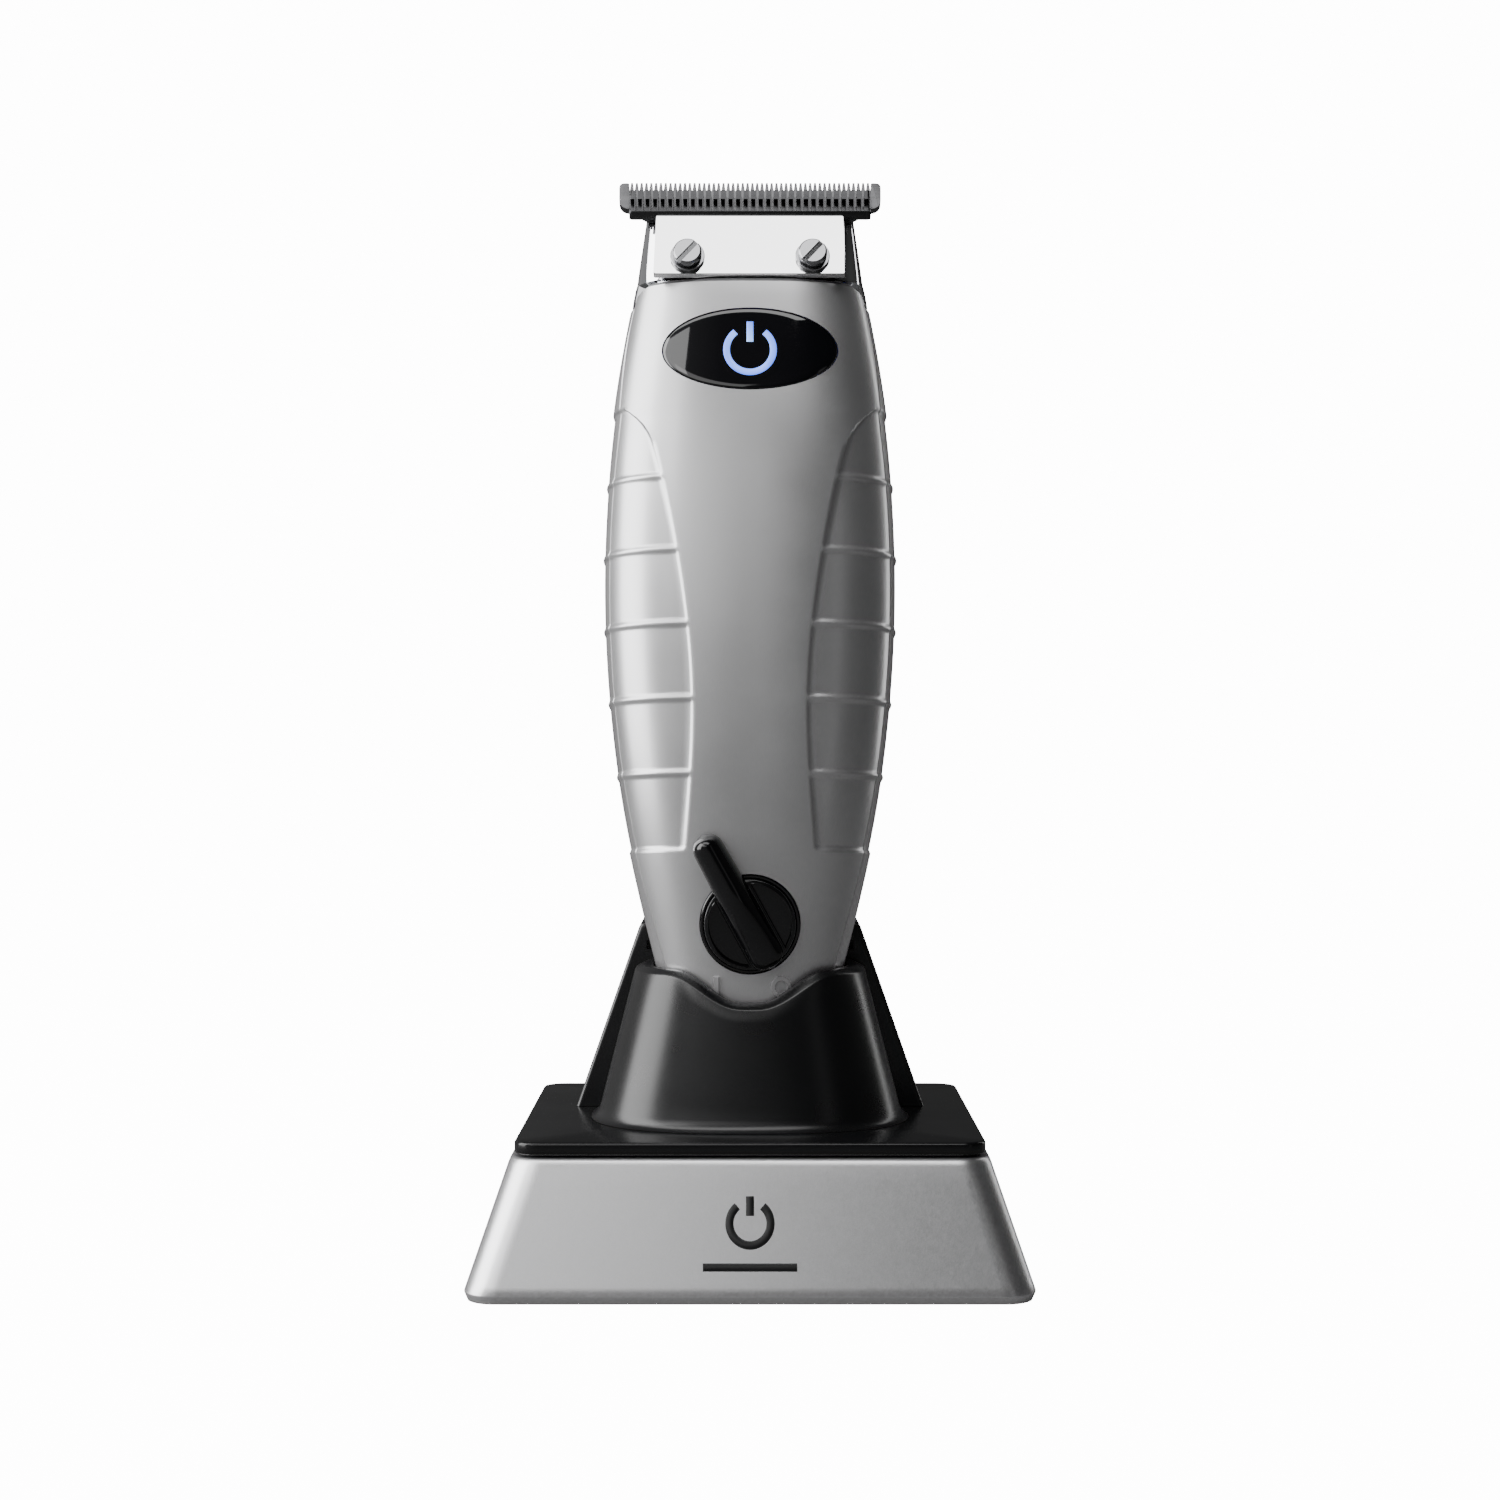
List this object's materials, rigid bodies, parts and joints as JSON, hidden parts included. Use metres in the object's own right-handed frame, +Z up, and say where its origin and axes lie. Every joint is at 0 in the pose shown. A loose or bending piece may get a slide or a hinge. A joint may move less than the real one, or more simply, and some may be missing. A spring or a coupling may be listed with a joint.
{
  "type": "cordless trimmer on charging stand",
  "caption": "Cordless T-blade body groomer with a rotary switch, leaning back in the cradle of a tapered charging stand.",
  "frame": {"origin": "centre of the stand's footprint, on the surface it stands on", "axes": "+Z up, -Y towards the front with the switch and lens, +X to the right seen from the front"},
  "size_m": [0.0808, 0.0752, 0.1641],
  "materials": {
    "housing_silver": "gloss silver-grey paint",
    "plinth_metal": "fine bead-blasted, polished edges",
    "deck_gloss": "gloss",
    "cradle_satin": "satin gloss",
    "inner_black": "matte",
    "inner_white": "natural",
    "pad_rubber": "matte",
    "small_steel": "plated",
    "board_green": "solder mask",
    "contact_brass": "bright plated",
    "lens_black": "high gloss",
    "indicator_light": "lit from behind",
    "switch_black": "high gloss",
    "battery_wrap": "shrink wrapped",
    "motor_steel": "bright",
    "head_chrome": "polished",
    "head_mirror": "mirror polished",
    "blade_screw_steel": "fine turned",
    "blade_steel": "ground",
    "cutter_steel": "ground"
  },
  "bodies": {
    "stand": {"plinth_shell": "plinth_metal", "deck_plate": "deck_gloss", "cradle": "cradle_satin", "base_plate": "inner_black", "non_slip_pad": "pad_rubber", "base_screw_1": "small_steel", "base_screw_2": "small_steel", "base_screw_3": "small_steel", "base_screw_4": "small_steel", "ballast_weight": "small_steel", "stand_board": "board_green", "power_inlet": "inner_black", "contact_block": "inner_black", "contact_spring_left": "small_steel", "contact_spring_right": "small_steel"},
    "left_pin": {"contact_pin_left": "contact_brass"},
    "right_pin": {"contact_pin_right": "contact_brass"},
    "trimmer": {"front_housing": "housing_silver", "rear_housing": "housing_silver", "housing_screw_lower_left": "small_steel", "housing_screw_lower_right": "small_steel", "housing_screw_upper_left": "small_steel", "housing_screw_upper_right": "small_steel", "indicator_lens": "lens_black", "light_guide": "indicator_light", "end_cap": "inner_black", "charge_contact_left": "contact_brass", "charge_contact_right": "contact_brass", "switch_bezel": "switch_black", "switch_body": "inner_white", "battery_cell": "battery_wrap", "battery_holder": "inner_white", "main_board": "board_green", "motor": "motor_steel", "motor_bracket": "inner_white", "nose_block": "head_chrome", "blade_plate": "head_mirror", "blade_screw_left": "blade_screw_steel", "blade_screw_right": "blade_screw_steel", "comb_blade": "blade_steel"},
    "switch": {"switch_knob": "switch_black", "switch_shaft": "inner_white"},
    "rotor": {"motor_shaft": "motor_steel", "eccentric_cam": "contact_brass"},
    "cutter": {"cutter_blade": "cutter_steel", "drive_yoke": "inner_white"}
  },
  "joints": [
    {"name": "trimmer_lift", "type": "slide", "parent": "stand", "child": "trimmer", "axis": [0, 0.0872, 0.9962], "range_m": [0, 0.05]},
    {"name": "switch_turn", "type": "hinge", "parent": "trimmer", "child": "switch", "pos_m": [0, -0.01687, 0.05207], "axis": [0, 0.9976, 0.0698], "range_deg": [0, 60]},
    {"name": "motor_spin", "type": "hinge", "parent": "trimmer", "child": "rotor", "pos_m": [0, 0.00401, 0.12553], "axis": [0, 0.0872, 0.9962], "continuous": true},
    {"name": "cutter_slide", "type": "slide", "parent": "trimmer", "child": "cutter", "axis": [1, 0, 0], "range_m": [-0.001, 0.001]},
    {"name": "left_pin_press", "type": "slide", "parent": "stand", "child": "left_pin", "axis": [0, 0, 1], "range_m": [-0.001, 0], "stiffness_N_per_m": 300, "deforming": ["contact_spring_left"]},
    {"name": "right_pin_press", "type": "slide", "parent": "stand", "child": "right_pin", "axis": [0, 0, 1], "range_m": [-0.001, 0], "stiffness_N_per_m": 300, "deforming": ["contact_spring_right"]}
  ]
}
